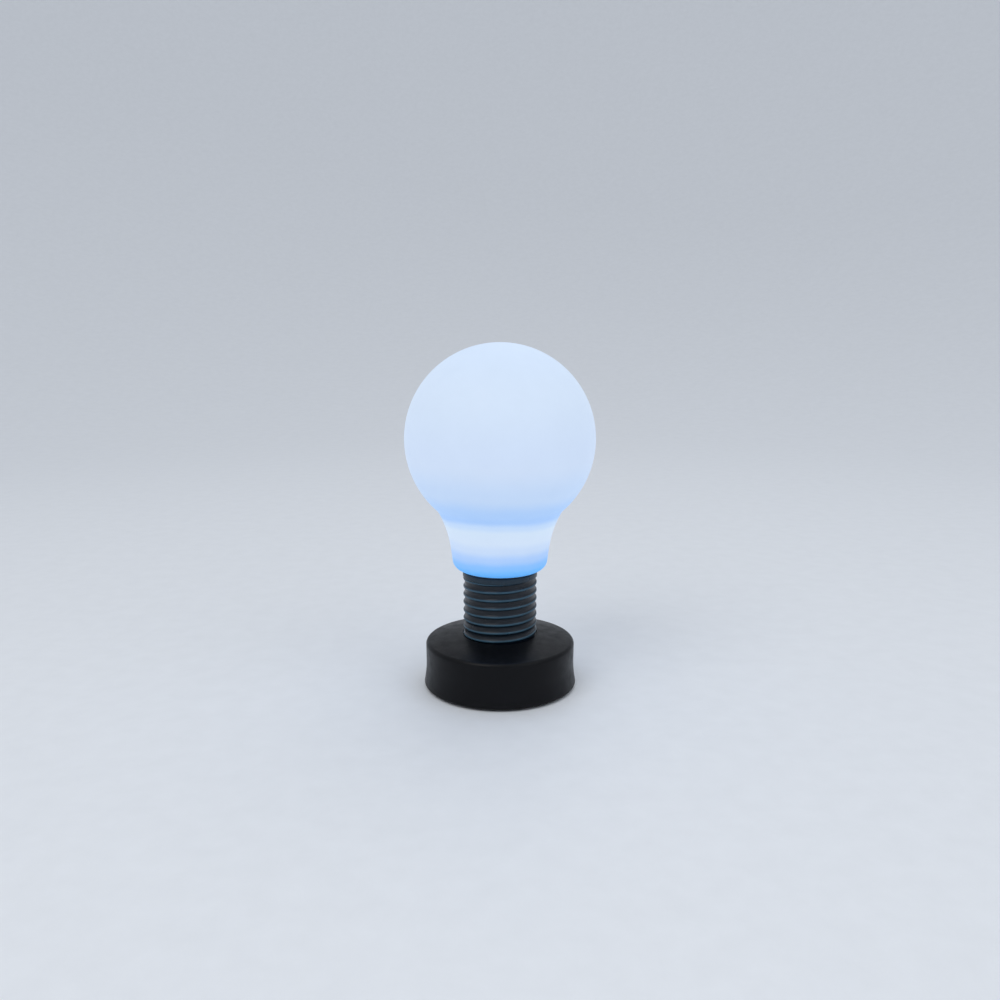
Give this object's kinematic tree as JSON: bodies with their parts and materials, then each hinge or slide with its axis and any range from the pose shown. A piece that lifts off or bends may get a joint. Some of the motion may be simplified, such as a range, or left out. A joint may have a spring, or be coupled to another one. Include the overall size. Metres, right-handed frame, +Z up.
{
  "type": "cordless bulb-shaped smart lamp",
  "caption": "Cordless table lamp shaped like a bulb: opal globe shade on a dark threaded neck and a round black base, with twist-off shade, battery door and power button.",
  "frame": {"origin": "on the floor under the lamp's axis, in the plane of the rubber feet", "axes": "+Z up along the lamp's axis; -Y is the front; +Y is the back, with the button and the charging socket"},
  "size_m": [0.11, 0.11, 0.203],
  "materials": {
    "opal_shade": "satin opal polymer, glows from inside",
    "silicone_seal": "dull black silicone",
    "graphite_abs": "satin moulded, very dark grey",
    "black_abs": "fine-grained satin black",
    "underside_abs": "fine spark texture",
    "door_abs": "fine spark texture",
    "button_abs": "half-gloss black",
    "white_polymer": "plain moulded white",
    "spreader_aluminium": "turned, lightly brushed",
    "white_board": "white solder mask",
    "led_package": "white package with a clear-filled well",
    "green_board": "green solder mask",
    "chip_epoxy": "black moulded epoxy",
    "shield_can": "tinned pressed can",
    "ferrite": "dull sintered grey",
    "capacitor_sleeve": "shrunk sleeve",
    "connector_nylon": "natural nylon",
    "switch_body": "moulded black",
    "socket_steel": "plated pressed steel",
    "cell_wrap": "printed wrap with metal ends",
    "nickel_sheet": "nickel plated",
    "nickel_wire": "nickel plated wire",
    "zinc_screw": "zinc plated",
    "black_screw": "black passivated",
    "pin_steel": "ground steel",
    "foot_rubber": "dull rubber",
    "cable_sheath": "white sheath",
    "red_lead": "red insulation",
    "black_lead": "black insulation"
  },
  "bodies": {
    "stand": {"shade_seal": "silicone_seal", "threaded_neck": "graphite_abs", "shade_mount": "white_polymer", "heat_spreader": "spreader_aluminium", "led_board": "white_board", "base_housing": "black_abs", "base_plate": "underside_abs", "door_pin": "pin_steel", "control_board": "green_board", "usb_socket": "socket_steel", "tact_switch": "switch_body", "board_header": "connector_nylon", "cable_plug_lower": "connector_nylon", "cable_plug_upper": "connector_nylon", "led_header": "connector_nylon", "storage_capacitor": "capacitor_sleeve", "controller_chip": "chip_epoxy", "power_inductor": "ferrite", "wireless_module": "shield_can", "led_cable": "cable_sheath", "battery_lead_plus": "red_lead", "battery_lead_minus": "black_lead", "contact_positive": "nickel_sheet", "contact_negative": "nickel_sheet", "contact_bridge_1": "nickel_sheet", "contact_bridge_2": "nickel_sheet", "led_1": "led_package", "led_2": "led_package", "led_3": "led_package", "led_4": "led_package", "led_5": "led_package", "led_6": "led_package", "neck_screw_1": "zinc_screw", "mount_screw_1": "zinc_screw", "battery_cell_1": "cell_wrap", "contact_spring_1": "nickel_wire", "neck_screw_2": "zinc_screw", "mount_screw_2": "zinc_screw", "battery_cell_2": "cell_wrap", "contact_spring_2": "nickel_wire", "neck_screw_3": "zinc_screw", "mount_screw_3": "zinc_screw", "battery_cell_3": "cell_wrap", "contact_spring_3": "nickel_wire", "led_screw_1": "zinc_screw", "board_screw_1": "zinc_screw", "led_screw_2": "zinc_screw", "board_screw_2": "zinc_screw", "base_screw_1": "black_screw", "rubber_foot_1": "foot_rubber", "base_screw_2": "black_screw", "rubber_foot_2": "foot_rubber", "base_screw_3": "black_screw", "rubber_foot_3": "foot_rubber", "base_screw_4": "black_screw", "rubber_foot_4": "foot_rubber"},
    "shade_assembly": {"shade": "opal_shade"},
    "door": {"battery_door": "door_abs"},
    "button": {"power_button": "button_abs"}
  },
  "joints": [
    {"name": "shade_twist", "type": "hinge", "parent": "stand", "child": "shade_assembly", "pos_m": [0, 0, 0.07134], "axis": [0, 0, 1], "range_deg": [0, 40]},
    {"name": "battery_door_hinge", "type": "hinge", "parent": "stand", "child": "door", "pos_m": [0, -0.0263, 0.0034], "axis": [-1, 0, 0], "range_deg": [0, 90]},
    {"name": "power_button_press", "type": "slide", "parent": "stand", "child": "button", "axis": [-0.309, -0.9511, 0], "range_m": [0, 0.0008], "stiffness_N_per_m": 1200, "springref_m": -0.0004}
  ]
}
